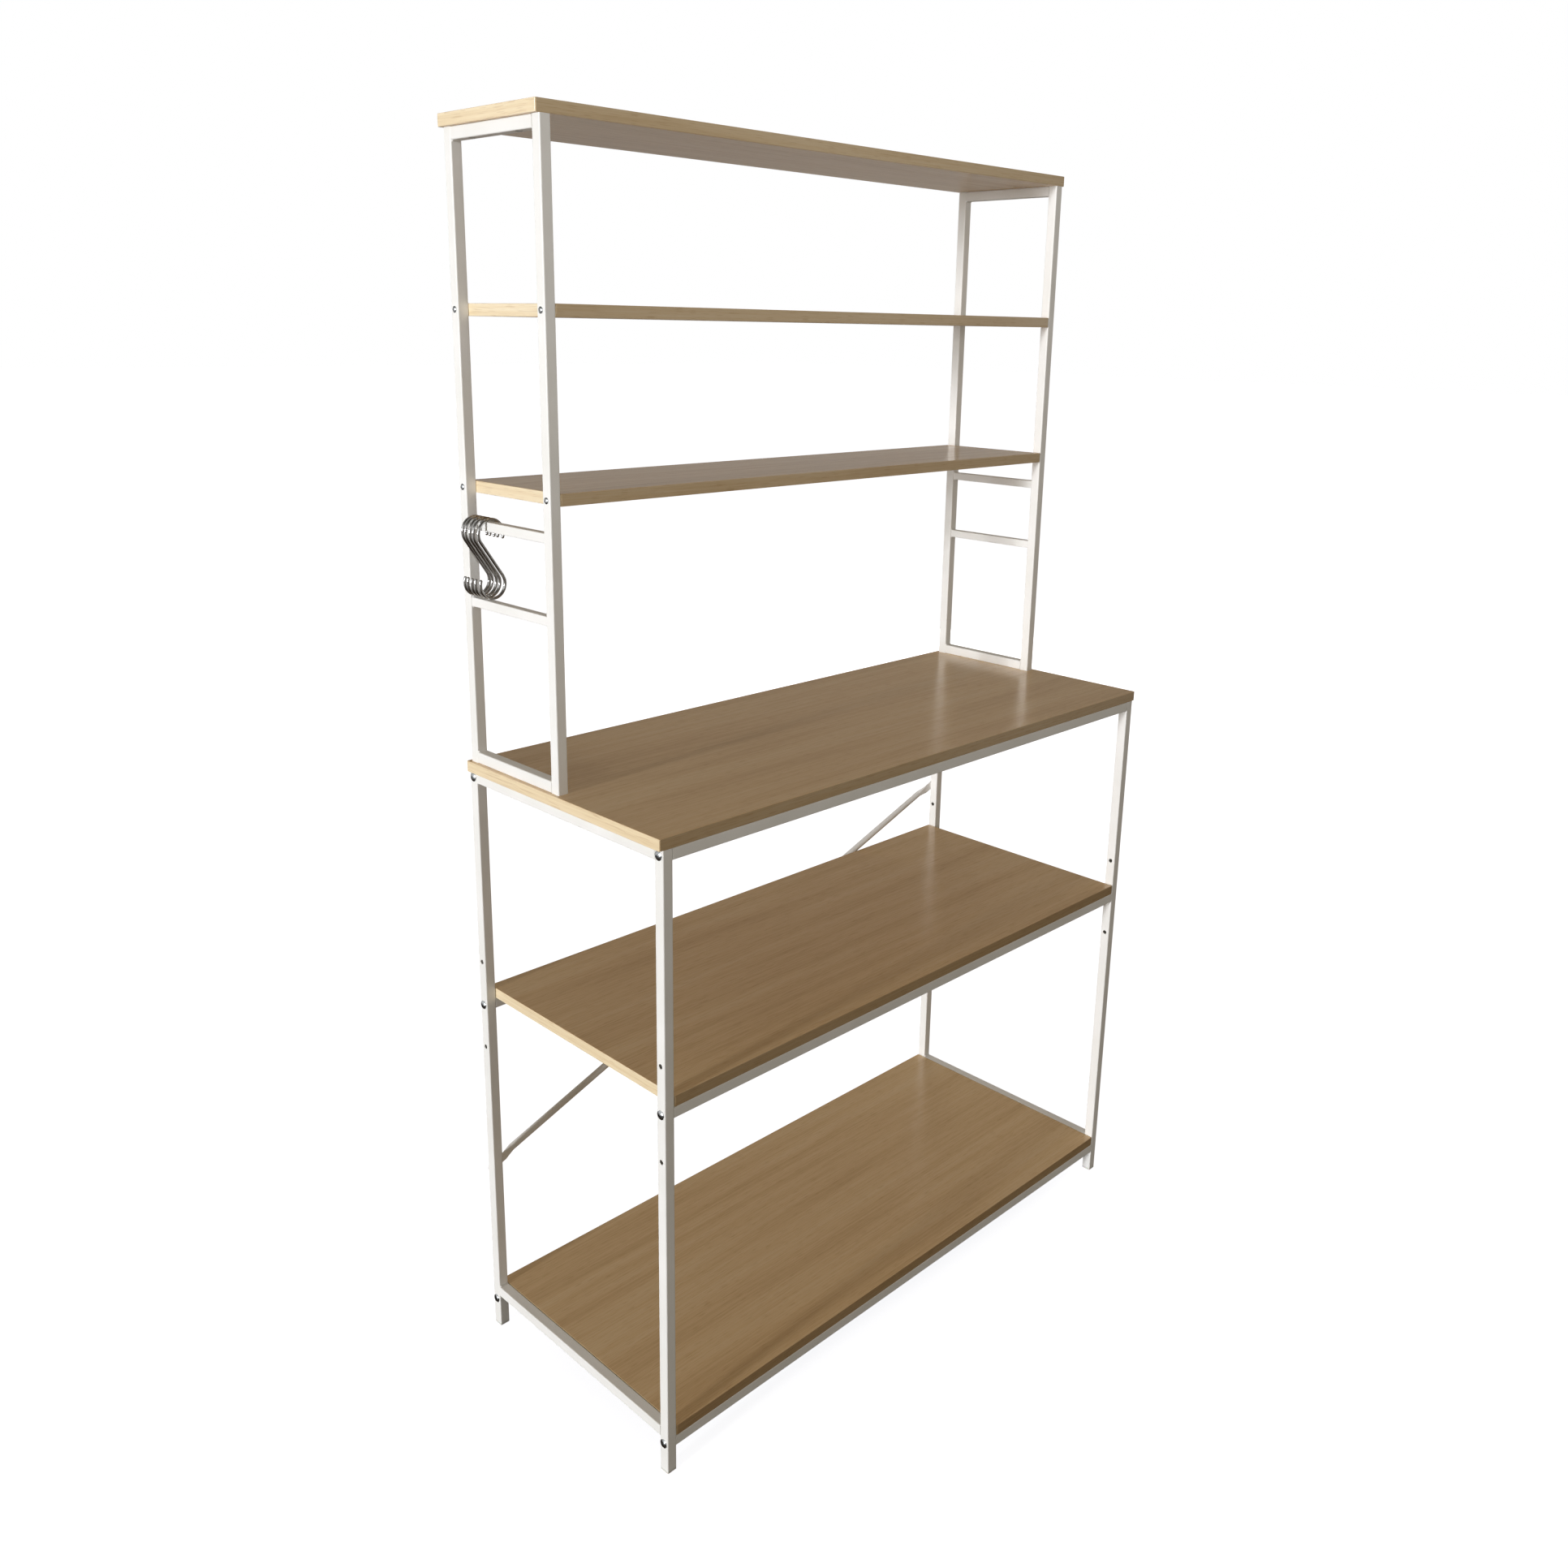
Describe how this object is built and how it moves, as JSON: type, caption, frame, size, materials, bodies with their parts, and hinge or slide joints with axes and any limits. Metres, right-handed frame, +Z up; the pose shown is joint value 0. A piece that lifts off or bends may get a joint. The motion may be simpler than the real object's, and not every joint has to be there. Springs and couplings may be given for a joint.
{
  "type": "kitchen rack",
  "caption": "Freestanding kitchen rack: a welded steel stand with deep boards, and a shallower shelved hutch on its desk board, with S-hooks on a side rung.",
  "frame": {"origin": "on the floor, under the middle of the desk board", "axes": "+X along the rack to the right, +Y from the front to the back, +Z up"},
  "size_m": [1.0075, 0.4103, 1.68],
  "materials": {
    "frame_paint": "satin powder coat",
    "board_laminate": "satin light oak laminate",
    "bolt_zinc": "bright zinc plate",
    "screw_zinc": "bright zinc plate",
    "foot_plastic": "matte moulded plastic",
    "hook_chrome": "polished chrome plate"
  },
  "bodies": {
    "rack": {"bottom_board": "board_laminate", "bottom_front_rail": "frame_paint", "bottom_rear_rail": "frame_paint", "brace_bolts": "bolt_zinc", "brace_nuts": "bolt_zinc", "desk_board": "board_laminate", "desk_front_rail": "frame_paint", "desk_rear_rail": "frame_paint", "diagonal_brace": "frame_paint", "foot_left_front": "foot_plastic", "foot_left_rear": "foot_plastic", "foot_right_front": "foot_plastic", "foot_right_rear": "foot_plastic", "frame_bolts": "bolt_zinc", "hutch_left_bottom_rail": "frame_paint", "hutch_left_front_post": "frame_paint", "hutch_left_lower_rung": "frame_paint", "hutch_left_rear_post": "frame_paint", "hutch_left_top_rail": "frame_paint", "hutch_left_upper_rung": "frame_paint", "hutch_nuts": "bolt_zinc", "hutch_right_bottom_rail": "frame_paint", "hutch_right_front_post": "frame_paint", "hutch_right_lower_rung": "frame_paint", "hutch_right_rear_post": "frame_paint", "hutch_right_top_rail": "frame_paint", "hutch_right_upper_rung": "frame_paint", "hutch_screws": "screw_zinc", "lower_shelf": "board_laminate", "middle_board": "board_laminate", "middle_front_rail": "frame_paint", "middle_rear_rail": "frame_paint", "rail_plugs": "bolt_zinc", "rail_screws": "screw_zinc", "shelf_screws": "screw_zinc", "stand_left_bottom_rail": "frame_paint", "stand_left_front_post": "frame_paint", "stand_left_rear_post": "frame_paint", "stand_left_top_rail": "frame_paint", "stand_right_bottom_rail": "frame_paint", "stand_right_front_post": "frame_paint", "stand_right_rear_post": "frame_paint", "stand_right_top_rail": "frame_paint", "top_board": "board_laminate", "top_board_screws": "screw_zinc", "upper_shelf": "board_laminate"},
    "hook_1": {"s_hook_1": "hook_chrome"},
    "hook_2": {"s_hook_2": "hook_chrome"},
    "hook_3": {"s_hook_3": "hook_chrome"},
    "hook_4": {"s_hook_4": "hook_chrome"},
    "hook_5": {"s_hook_5": "hook_chrome"}
  },
  "joints": [
    {"name": "hook_1_swing", "type": "hinge", "parent": "rack", "child": "hook_1", "pos_m": [-0.4875, 0.1755, 1.18812], "axis": [0, 1, 0], "range_deg": [-75, 75]},
    {"name": "hook_2_swing", "type": "hinge", "parent": "rack", "child": "hook_2", "pos_m": [-0.4875, 0.1685, 1.18812], "axis": [0, 1, 0], "range_deg": [-75, 75]},
    {"name": "hook_3_swing", "type": "hinge", "parent": "rack", "child": "hook_3", "pos_m": [-0.4875, 0.159, 1.18812], "axis": [0, 1, 0], "range_deg": [-75, 75]},
    {"name": "hook_4_swing", "type": "hinge", "parent": "rack", "child": "hook_4", "pos_m": [-0.4875, 0.151, 1.18812], "axis": [0, 1, 0], "range_deg": [-75, 75]},
    {"name": "hook_5_swing", "type": "hinge", "parent": "rack", "child": "hook_5", "pos_m": [-0.4875, 0.1395, 1.18812], "axis": [0, 1, 0], "range_deg": [-75, 75]}
  ]
}
